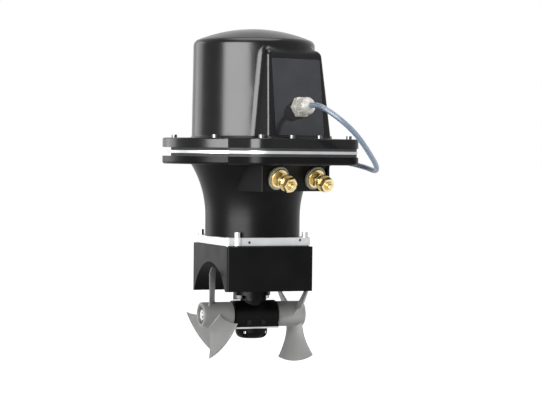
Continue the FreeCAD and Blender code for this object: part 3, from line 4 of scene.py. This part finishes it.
import bmesh
import bpy
from mathutils import Matrix, Vector


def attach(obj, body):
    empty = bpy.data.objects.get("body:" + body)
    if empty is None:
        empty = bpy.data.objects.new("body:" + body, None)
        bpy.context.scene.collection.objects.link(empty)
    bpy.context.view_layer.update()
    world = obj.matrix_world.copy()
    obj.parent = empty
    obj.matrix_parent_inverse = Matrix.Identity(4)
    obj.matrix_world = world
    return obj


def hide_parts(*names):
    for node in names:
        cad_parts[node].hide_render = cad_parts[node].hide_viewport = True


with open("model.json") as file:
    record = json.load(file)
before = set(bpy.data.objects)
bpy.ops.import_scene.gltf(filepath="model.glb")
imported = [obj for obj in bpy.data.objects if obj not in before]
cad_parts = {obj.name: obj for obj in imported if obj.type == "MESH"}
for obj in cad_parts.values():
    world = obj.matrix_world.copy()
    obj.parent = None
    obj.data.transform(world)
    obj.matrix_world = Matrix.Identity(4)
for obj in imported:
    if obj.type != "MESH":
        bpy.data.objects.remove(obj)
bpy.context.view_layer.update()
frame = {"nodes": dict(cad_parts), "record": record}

NODES = frame["nodes"]
MM = 0.001                    # lengths of the pieces are given in millimetres


# ---------------------------------------------------------------- camera
CAMERA_AZIMUTH = -20.0        # degrees from the front, towards +X when positive
CAMERA_DISTANCE = 2.56        # metres
CAMERA_HEIGHT = 0.208
AIM_RIGHT = 0.0235
AIM_HEIGHT = 0.1466
CAMERA_ROLL = 0.6             # degrees
CAMERA_LENS = 132.8           # focal length, in millimetres on the sensor's 36
SENSOR_WIDTH = 36.0
CAMERA_REACH = 50.0

azimuth = math.radians(CAMERA_AZIMUTH)
toward_camera = Vector((math.sin(azimuth), -math.cos(azimuth), 0))
screen_right = Vector((math.cos(azimuth), math.sin(azimuth), 0))
camera_data = bpy.data.cameras.new("camera")
camera_data.lens = CAMERA_LENS
camera_data.sensor_width = SENSOR_WIDTH
camera_data.clip_end = CAMERA_REACH
camera = bpy.data.objects.new("camera", camera_data)
bpy.context.scene.collection.objects.link(camera)
camera.location = toward_camera * CAMERA_DISTANCE + Vector((0, 0, CAMERA_HEIGHT))
aim = screen_right * AIM_RIGHT + Vector((0, 0, AIM_HEIGHT))
look = (aim - camera.location).to_track_quat("-Z", "Y")
camera.rotation_mode = "QUATERNION"
roll = Matrix.Rotation(math.radians(CAMERA_ROLL), 4, "Z")
camera.rotation_quaternion = look @ roll.to_quaternion()
bpy.context.scene.camera = camera


# ---------------------------------------------------------------- materials
def blank_material(name):
    """A material that holds one Principled shader."""
    material = bpy.data.materials.new(name)
    material.use_nodes = True
    tree = material.node_tree
    tree.nodes.clear()
    out = tree.nodes.new("ShaderNodeOutputMaterial")
    shader = tree.nodes.new("ShaderNodeBsdfPrincipled")
    tree.links.new(shader.outputs["BSDF"], out.inputs["Surface"])
    return material, tree, shader


NOISE_COLOUR_SPAN = (0.35, 0.65)      # noise levels at which the two colours are reached
NOISE_VALUE_SPAN = (0.3, 0.7)         # the same for a number, such as roughness
PATCH_SCALE = 25.0                    # broad patches of colour and roughness, per metre
PATCH_DETAIL = 4.0
GRAIN_DETAIL = 3.0


def noise(tree, scale, detail):
    coords = tree.nodes.new("ShaderNodeTexCoord")
    texture = tree.nodes.new("ShaderNodeTexNoise")
    texture.inputs["Scale"].default_value = scale
    texture.inputs["Detail"].default_value = detail
    tree.links.new(coords.outputs["Object"], texture.inputs["Vector"])
    return texture.outputs["Fac"]


def ramp(tree, source, low, high):
    """Colour that runs from low to high with the source."""
    node = tree.nodes.new("ShaderNodeValToRGB")
    node.color_ramp.elements[0].position = NOISE_COLOUR_SPAN[0]
    node.color_ramp.elements[1].position = NOISE_COLOUR_SPAN[1]
    node.color_ramp.elements[0].color = (*low, 1)
    node.color_ramp.elements[1].color = (*high, 1)
    tree.links.new(source, node.inputs["Fac"])
    return node.outputs["Color"]


def spread(tree, source, low, high):
    """Number that runs from low to high with the source."""
    node = tree.nodes.new("ShaderNodeMapRange")
    node.inputs["From Min"].default_value = NOISE_VALUE_SPAN[0]
    node.inputs["From Max"].default_value = NOISE_VALUE_SPAN[1]
    node.inputs["To Min"].default_value = low
    node.inputs["To Max"].default_value = high
    tree.links.new(source, node.inputs["Value"])
    return node.outputs["Result"]


def bump(tree, shader, source, strength, distance):
    node = tree.nodes.new("ShaderNodeBump")
    node.inputs["Strength"].default_value = strength
    node.inputs["Distance"].default_value = distance
    tree.links.new(source, node.inputs["Height"])
    tree.links.new(node.outputs["Normal"], shader.inputs["Normal"])


def finish_material(name, dark, light, rough, metallic=0.0, grain=900.0, bump_mm=0.02,
                    bump_strength=0.3, specular=0.5):
    """A finish with broad patches between two colours and two roughnesses, and a fine grain."""
    material, tree, shader = blank_material(name)
    shader.inputs["Metallic"].default_value = metallic
    shader.inputs["Specular IOR Level"].default_value = specular
    patches = noise(tree, PATCH_SCALE, PATCH_DETAIL)
    tree.links.new(ramp(tree, patches, dark, light), shader.inputs["Base Color"])
    tree.links.new(spread(tree, patches, rough[0], rough[1]), shader.inputs["Roughness"])
    bump(tree, shader, noise(tree, grain, GRAIN_DETAIL), bump_strength, bump_mm * MM)
    return material


BLACK_COVER = finish_material(
    "black_cover", (0.0030, 0.0030, 0.0034), (0.0042, 0.0042, 0.0047), (0.20, 0.26),
    grain=700.0, bump_mm=0.02, bump_strength=0.2, specular=0.22)
BLACK_CASTING = finish_material(
    "black_casting", (0.0026, 0.0026, 0.0029), (0.0045, 0.0045, 0.0049), (0.30, 0.38),
    grain=600.0, bump_mm=0.05, specular=0.08)
BLACK_COMPOSITE = finish_material(
    "black_composite", (0.0034, 0.0036, 0.0038), (0.0065, 0.0066, 0.0070), (0.36, 0.46),
    bump_mm=0.05, bump_strength=0.35, specular=0.06)
BLACK_PLASTIC = finish_material(
    "black_plastic", (0.006, 0.006, 0.0065), (0.010, 0.010, 0.011), (0.36, 0.46), specular=0.16)
INSULATOR = finish_material(
    "insulator", (0.36, 0.36, 0.27), (0.46, 0.45, 0.34), (0.5, 0.6), grain=1100.0)
LABEL_FILM = finish_material(
    "label_film", (0.058, 0.059, 0.064), (0.070, 0.072, 0.078), (0.34, 0.40),
    grain=1500.0, bump_mm=0.01, bump_strength=0.15, specular=0.07)
ALUMINIUM = finish_material(
    "aluminium", (0.44, 0.45, 0.46), (0.53, 0.54, 0.55), (0.38, 0.50),
    metallic=0.8, grain=500.0, bump_mm=0.01)
STAINLESS = finish_material(
    "stainless", (0.40, 0.40, 0.39), (0.50, 0.50, 0.49), (0.24, 0.34),
    metallic=1.0, grain=1200.0, bump_mm=0.01)
DARK_STEEL = finish_material(
    "dark_steel", (0.10, 0.10, 0.11), (0.15, 0.15, 0.16), (0.30, 0.40),
    metallic=1.0, grain=1200.0, bump_mm=0.01)
STEEL = finish_material(
    "steel", (0.42, 0.42, 0.43), (0.52, 0.52, 0.53), (0.25, 0.35),
    metallic=1.0, grain=1200.0, bump_mm=0.01)
BRASS = finish_material(
    "brass", (0.52, 0.41, 0.20), (0.68, 0.56, 0.30), (0.22, 0.32), metallic=1.0, bump_mm=0.01)
COPPER = finish_material(
    "copper", (0.62, 0.30, 0.16), (0.74, 0.38, 0.22), (0.25, 0.38), metallic=1.0, bump_mm=0.01)
RUBBER = finish_material("rubber", (0.012, 0.012, 0.012), (0.020, 0.020, 0.020), (0.65, 0.8))
RED_RUBBER = finish_material("red_rubber", (0.45, 0.06, 0.04), (0.55, 0.09, 0.05), (0.5, 0.6))
NYLON = finish_material("nylon", (0.70, 0.68, 0.60), (0.78, 0.76, 0.69), (0.36, 0.44))
SHEATH = finish_material(
    "cable_sheath", (0.23, 0.30, 0.40), (0.29, 0.37, 0.48), (0.38, 0.46), grain=1500.0)
GREY_COMPOSITE = finish_material(
    "grey_composite", (0.34, 0.34, 0.33), (0.42, 0.42, 0.41), (0.50, 0.6), bump_mm=0.05)
MOTOR_PAINT = finish_material("motor_paint", (0.10, 0.10, 0.11), (0.13, 0.13, 0.14), (0.4, 0.5))
IRON = finish_material("iron", (0.2, 0.2, 0.21), (0.27, 0.27, 0.28), (0.4, 0.5), metallic=1.0)
FERRITE = finish_material("ferrite", (0.10, 0.10, 0.11), (0.14, 0.14, 0.15), (0.6, 0.7))
CARBON = finish_material("carbon", (0.03, 0.03, 0.03), (0.05, 0.05, 0.05), (0.5, 0.6))

FINISHES = {
    "black_cover": BLACK_COVER,
    "black_casting": BLACK_CASTING,
    "black_composite": BLACK_COMPOSITE,
    "black_plastic": BLACK_PLASTIC,
    "insulator_plastic": INSULATOR,
    "label_film": LABEL_FILM,
    "plate_aluminium": ALUMINIUM,
    "stainless": STAINLESS,
    "dark_steel": DARK_STEEL,
    "steel": STEEL,
    "brass": BRASS,
    "copper": COPPER,
    "rubber": RUBBER,
    "coupling_rubber": RED_RUBBER,
    "gland_plastic": NYLON,
    "cable_sheath": SHEATH,
    "prop_composite": GREY_COMPOSITE,
    "motor_steel": MOTOR_PAINT,
    "iron_core": IRON,
    "magnet": FERRITE,
    "carbon": CARBON,
}
SLOT_OF = {part["node"]: part["material_slot"] for part in frame["record"]["subparts"]}


def dress(target, material):
    target.data.materials.clear()
    target.data.materials.append(material)


for node_name, node in NODES.items():
    for material_slot in node.material_slots:
        material_slot.material = FINISHES[SLOT_OF[node_name]]


# ---------------------------------------------------------------- control cable
CABLE_DIAMETER = 6.6 * MM
# the tube's points, to 0.1 mm, but for the third to the fifth, which are moved by up to 3 mm
# to follow the photograph
CABLE_ROUTE_MM = [
    (36.1, -98.0, 265.8),
    (41.4, -114.6, 267.7),
    (49.0, -130.2, 260.4),
    (65.4, -143.6, 245.8),
    (84.6, -141.9, 229.2),
    (107.7, -122.2, 210.0),
    (131.6, -95.0, 191.5),
    (144.2, -63.4, 184.0),
    (141.8, -33.0, 190.0),
    (123.5, 5.8, 197.0),
    (115.2, 45.0, 197.0),
    (97.4, 73.4, 189.0),
    (74.9, 98.3, 197.0),
    (39.6, 117.1, 197.0),
    (22.8, 126.0, 186.0),
    (13.0, 131.1, 167.0),
    (13.0, 131.1, 137.0),
]
CABLE_POINTS = [Vector(point) * MM for point in CABLE_ROUTE_MM]


def control_cable():
    curve = bpy.data.curves.new("control_cable_run", "CURVE")
    curve.dimensions = "3D"
    curve.bevel_depth = CABLE_DIAMETER / 2
    curve.bevel_resolution = 6
    curve.resolution_u = 16
    curve.use_fill_caps = True
    spline = curve.splines.new("NURBS")
    spline.points.add(len(CABLE_POINTS) - 1)
    for point, place in zip(spline.points, CABLE_POINTS):
        point.co = (*place, 1)
    spline.order_u = 3
    spline.use_endpoint_u = True
    cable = bpy.data.objects.new("control_cable_run", curve)
    bpy.context.scene.collection.objects.link(cable)
    curve.materials.append(SHEATH)
    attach(cable, "housing")
    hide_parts("control_cable")
    return cable


cable = control_cable()


# ---------------------------------------------------------------- terminals
# levels are millimetres along the stud, from the seat of the insulator
STUD_POINT_MIDDLE = 32.3
STUD_THREAD = (3.2, 29.8)
STUD_PITCH = 1.5
STUD_RADIUS = 5.0
THREAD_DEPTH = 0.75
THREAD_SIDES = 32
POINT_RADIUS = 4.0
POINT_END = 34.8
POINT_CHAMFER = 0.7
NUT_APOTHEM = 8.5
NUT_CHAMFER_START = 0.95      # of the apothem
NUT_CHAMFER_SLOPE = 0.577     # 30 degrees
NUT_BORE_GAP = 0.05
NUT_LEVELS = ((5.0, 13.0), (21.0, 29.0))
NUT_TURNS = (17.0, 40.0)      # degrees
WASHERS = ((3.0, 5.0, 12.0), (19.0, 21.0, 10.5))      # low, high, radius
WASHER_BORE_GAP = 0.3
WASHER_EDGE = 0.3


def mesh_piece(name, vertices, faces, material, slot, body, place, smooth_angle=35):
    """A piece from vertices in millimetres, in the frame that place gives."""
    mesh = bpy.data.meshes.new(name)
    mesh.from_pydata([Vector(v) * MM for v in vertices], [], faces)
    work = bmesh.new()
    work.from_mesh(mesh)
    bmesh.ops.remove_doubles(work, verts=work.verts, dist=1e-6)
    bmesh.ops.recalc_face_normals(work, faces=work.faces)
    work.to_mesh(mesh)
    work.free()
    mesh.transform(place)
    mesh.shade_smooth()
    mesh.set_sharp_from_angle(angle=math.radians(smooth_angle))
    piece = bpy.data.objects.new(name, mesh)
    bpy.context.scene.collection.objects.link(piece)
    mesh.materials.append(material)
    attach(piece, body)
    return piece


def rings_mesh(rings, closed_ends=True):
    """Vertices and faces of a tube through rings of points, all of one length."""
    count = len(rings[0])
    vertices = [point for ring in rings for point in ring]
    faces = []
    for r in range(len(rings) - 1):
        for i in range(count):
            j = (i + 1) % count
            faces.append((r * count + i, r * count + j, (r + 1) * count + j, (r + 1) * count + i))
    if closed_ends:
        faces.append(tuple(range(count)))
        faces.append(tuple((len(rings) - 1) * count + i for i in range(count)))
    return vertices, faces


def circle(radius, z, count=48):
    angles = [2 * math.pi * i / count for i in range(count)]
    return [(radius * math.cos(angle), radius * math.sin(angle), z) for angle in angles]


def thread_rings(radius, low, high, pitch):
    """Rings of a screw thread, run out and chamfered at both ends."""
    rings = []
    rings_per_turn = 8
    end_chamfer = 0.5
    steps = int((high - low) / pitch * rings_per_turn)
    for k in range(steps + 1):
        z = low + (high - low) * k / steps
        fade = min(1.0, (z - low) / pitch, (high - z) / pitch)
        ring = []
        for i in range(THREAD_SIDES):
            turn = (z / pitch - i / THREAD_SIDES) % 1.0
            crest = abs(2 * turn - 1)
            r = radius - THREAD_DEPTH * (1 - crest) * max(0.0, fade)
            if k in (0, steps):
                r -= end_chamfer
            angle = 2 * math.pi * i / THREAD_SIDES
            ring.append((r * math.cos(angle), r * math.sin(angle), z))
        rings.append(ring)
    return rings


def nut_rings(apothem, low, high, bore, count=96):
    """Rings of a hexagon nut with a turned chamfer on both faces."""
    flat = apothem * NUT_CHAMFER_START
    lower, upper = [], []
    for i in range(count):
        angle = 2 * math.pi * i / count
        off = (math.degrees(angle) + 30) % 60 - 30
        reach = apothem / math.cos(math.radians(off))
        rise = (reach - flat) * NUT_CHAMFER_SLOPE
        lower.append((reach * math.cos(angle), reach * math.sin(angle), low + rise))
        upper.append((reach * math.cos(angle), reach * math.sin(angle), high - rise))
    below = [circle(bore, low, count), circle(bore + 0.6, low, count), circle(flat, low, count)]
    above = [circle(flat, high, count), circle(bore + 0.7, high, count), circle(bore, high - 0.7, count)]
    return below + [lower, upper] + above


def stud_frame(mount):
    """Frame of a terminal: its origin on the insulator's seat, +Z out along the stud."""
    axis = Vector(mount["axis"])
    origin = Vector(mount["pos_m"]) - axis * STUD_POINT_MIDDLE * MM
    turn = axis.to_track_quat("Z", "Y")
    return Matrix.Translation(origin) @ turn.to_matrix().to_4x4()


def washer_rings(low, high, radius):
    inner = STUD_RADIUS + WASHER_BORE_GAP
    return [circle(inner, low), circle(radius - WASHER_EDGE, low), circle(radius, low + WASHER_EDGE),
            circle(radius, high - WASHER_EDGE), circle(radius - WASHER_EDGE, high),
            circle(inner, high), circle(inner, low)]


def terminals():
    """Threaded studs, chamfered nuts and washers in place of the plain solids."""
    studs, nuts, washers = [], [], []
    for mount in frame["record"]["mounts"]:
        if not mount["name"].startswith("terminal_"):
            continue
        place = stud_frame(mount)
        name = mount["name"]
        rings = thread_rings(STUD_RADIUS, *STUD_THREAD, STUD_PITCH)
        rings += [circle(POINT_RADIUS, STUD_THREAD[1], THREAD_SIDES),
                  circle(POINT_RADIUS, POINT_END - POINT_CHAMFER, THREAD_SIDES),
                  circle(POINT_RADIUS - POINT_CHAMFER, POINT_END, THREAD_SIDES)]
        studs.append(mesh_piece(name + "_stud", *rings_mesh(rings), BRASS, "brass", "housing", place))
        for i, (low, high) in enumerate(NUT_LEVELS):
            rings = nut_rings(NUT_APOTHEM, low, high, STUD_RADIUS + NUT_BORE_GAP)
            spin = Matrix.Rotation(math.radians(NUT_TURNS[i]), 4, "Z")
            nuts.append(mesh_piece("%s_nut_%d" % (name, i), *rings_mesh(rings, False), BRASS, "brass",
                                   "housing", place @ spin, 25))
        for i, (low, high, radius) in enumerate(WASHERS):
            rings = washer_rings(low, high, radius)
            washers.append(mesh_piece("%s_washer_%d" % (name, i), *rings_mesh(rings, False), BRASS,
                                      "brass", "housing", place))
    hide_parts("terminal_studs")
    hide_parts("terminal_nuts")
    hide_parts("terminal_washers")


terminals()


# ---------------------------------------------------------------- moulded propellers
MOULDING_MESH_SHARE = 0.3     # of the even mesh's faces that are kept
MOULDING_VOXEL = 0.45         # millimetres
MOULDING_ROUNDS = 5


def moulded(node_name, material, voxel_mm, rounds, body):
    """A copy of a solid with its edges and roots softened, as a moulding has them."""
    source = NODES[node_name]
    piece = bpy.data.objects.new(node_name + "_moulding", source.data.copy())
    bpy.context.scene.collection.objects.link(piece)
    remesh = piece.modifiers.new("even", "REMESH")
    remesh.mode = "VOXEL"
    remesh.voxel_size = voxel_mm * MM
    remesh.use_smooth_shade = True
    smooth = piece.modifiers.new("soft", "SMOOTH")
    smooth.factor = 0.5
    smooth.iterations = rounds
    thin = piece.modifiers.new("thin", "DECIMATE")
    thin.ratio = MOULDING_MESH_SHARE
    graph = bpy.context.evaluated_depsgraph_get()
    mesh = bpy.data.meshes.new_from_object(piece.evaluated_get(graph))
    piece.modifiers.clear()
    piece.data = mesh
    dress(piece, material)
    mesh.shade_smooth()
    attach(piece, body)
    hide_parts(node_name)
    return piece


for blade_node in ("propeller_left", "propeller_right"):
    moulded(blade_node, GREY_COMPOSITE, MOULDING_VOXEL, MOULDING_ROUNDS, "propellers")


# ---------------------------------------------------------------- floor, backdrop and light
FLOOR_Z = -0.2
FLOOR_HALF_SIZE = 12.0
FLOOR_COLOUR = (0.8, 0.8, 0.8, 1)
FLOOR_GLOW_NEAR = 0.74        # glow under the object, where the lamps add the rest
FLOOR_GLOW_REACH = 1.5        # metres from the middle to where the floor is fully white
WHITE = (1, 1, 1, 1)
WORLD_LIGHT = 0.08            # the world as a light on matte surfaces
WORLD_SEEN = 1.0              # the world as it is seen, also in metal


def seen_white(tree):
    """1 for a ray from the camera, from a mirror or through glass, else 0."""
    path = tree.nodes.new("ShaderNodeLightPath")
    first = tree.nodes.new("ShaderNodeMath")
    first.operation = "MAXIMUM"
    tree.links.new(path.outputs["Is Camera Ray"], first.inputs[0])
    tree.links.new(path.outputs["Is Glossy Ray"], first.inputs[1])
    both = tree.nodes.new("ShaderNodeMath")
    both.operation = "MAXIMUM"
    tree.links.new(first.outputs[0], both.inputs[0])
    tree.links.new(path.outputs["Is Transmission Ray"], both.inputs[1])
    return both.outputs[0]


def scaled(tree, value, low, high, full=1.0):
    """Low where the value is 0, high where it is full."""
    level = tree.nodes.new("ShaderNodeMapRange")
    level.inputs["From Max"].default_value = full
    level.inputs["To Min"].default_value = low
    level.inputs["To Max"].default_value = high
    tree.links.new(value, level.inputs["Value"])
    return level.outputs["Result"]


def floor_material():
    """Pale matte floor, white where it is seen, that keeps the object's shadow."""
    material = bpy.data.materials.new("floor_white")
    material.use_nodes = True
    tree = material.node_tree
    tree.nodes.clear()
    out = tree.nodes.new("ShaderNodeOutputMaterial")
    diffuse = tree.nodes.new("ShaderNodeBsdfDiffuse")
    diffuse.inputs["Color"].default_value = FLOOR_COLOUR
    glow = tree.nodes.new("ShaderNodeEmission")
    glow.inputs["Color"].default_value = WHITE
    coords = tree.nodes.new("ShaderNodeTexCoord")
    away = tree.nodes.new("ShaderNodeVectorMath")
    away.operation = "LENGTH"
    tree.links.new(coords.outputs["Object"], away.inputs[0])
    level = scaled(tree, away.outputs["Value"], FLOOR_GLOW_NEAR, 1.0, FLOOR_GLOW_REACH)
    seen = tree.nodes.new("ShaderNodeMath")
    seen.operation = "MULTIPLY"
    tree.links.new(level, seen.inputs[0])
    tree.links.new(seen_white(tree), seen.inputs[1])
    tree.links.new(seen.outputs[0], glow.inputs["Strength"])
    both = tree.nodes.new("ShaderNodeAddShader")
    tree.links.new(diffuse.outputs[0], both.inputs[0])
    tree.links.new(glow.outputs[0], both.inputs[1])
    tree.links.new(both.outputs[0], out.inputs["Surface"])
    return material


def add_stage():
    far = FLOOR_HALF_SIZE
    mesh = bpy.data.meshes.new("floor")
    corners = [(-far, -far, FLOOR_Z), (far, -far, FLOOR_Z), (far, far, FLOOR_Z), (-far, far, FLOOR_Z)]
    mesh.from_pydata(corners, [], [(0, 1, 2, 3)])
    floor = bpy.data.objects.new("floor", mesh)
    bpy.context.scene.collection.objects.link(floor)
    dress(floor, floor_material())


add_stage()


LIGHT_TARGET = Vector((0, 0, 0.17))
# name, azimuth, elevation, distance, width, height, radiance, what doesn't see it
LAMPS = (
    ("key_light", -56, 16, 2.2, 0.8, 1.2, 6.0, "glossy"),
    ("top_softbox", -20, 78, 2.0, 1.4, 1.4, 1.3, None),
    ("right_lamp", 56, 24, 2.4, 0.16, 0.16, 420.0, "glossy"),
    ("tall_softbox", -52, 8, 2.2, 2.1, 1.7, 21.0, "diffuse"),
    ("back_card", -146, 8, 2.2, 1.1, 1.6, 2.5, "diffuse"),
    ("top_card", -20, 86, 2.2, 2.0, 1.6, 5.0, "diffuse"),
)


def area_light(name, azimuth_deg, elevation_deg, distance, width, height, radiance, blind):
    """A soft lamp that looks at the object; blind names the surfaces that it leaves out."""
    a, e = math.radians(azimuth_deg), math.radians(elevation_deg)
    back = Vector((math.sin(a) * math.cos(e), -math.cos(a) * math.cos(e), math.sin(e)))
    data = bpy.data.lights.new(name, "AREA")
    data.shape = "RECTANGLE"
    data.size = width
    data.size_y = height
    data.energy = radiance * math.pi * width * height
    light = bpy.data.objects.new(name, data)
    bpy.context.scene.collection.objects.link(light)
    light.location = LIGHT_TARGET + back * distance
    light.rotation_mode = "QUATERNION"
    light.rotation_quaternion = (-back).to_track_quat("-Z", "Y")
    light.visible_glossy = blind != "glossy"
    light.visible_diffuse = blind != "diffuse"


for lamp in LAMPS:
    area_light(*lamp)

world = bpy.data.worlds.new("studio")
bpy.context.scene.world = world
world.use_nodes = True
tree = world.node_tree
tree.nodes.clear()
out = tree.nodes.new("ShaderNodeOutputWorld")
background = tree.nodes.new("ShaderNodeBackground")
background.inputs["Color"].default_value = WHITE
world_level = scaled(tree, seen_white(tree), WORLD_LIGHT, WORLD_SEEN)
tree.links.new(world_level, background.inputs["Strength"])
tree.links.new(background.outputs[0], out.inputs["Surface"])

bpy.context.scene.view_settings.view_transform = "Standard"
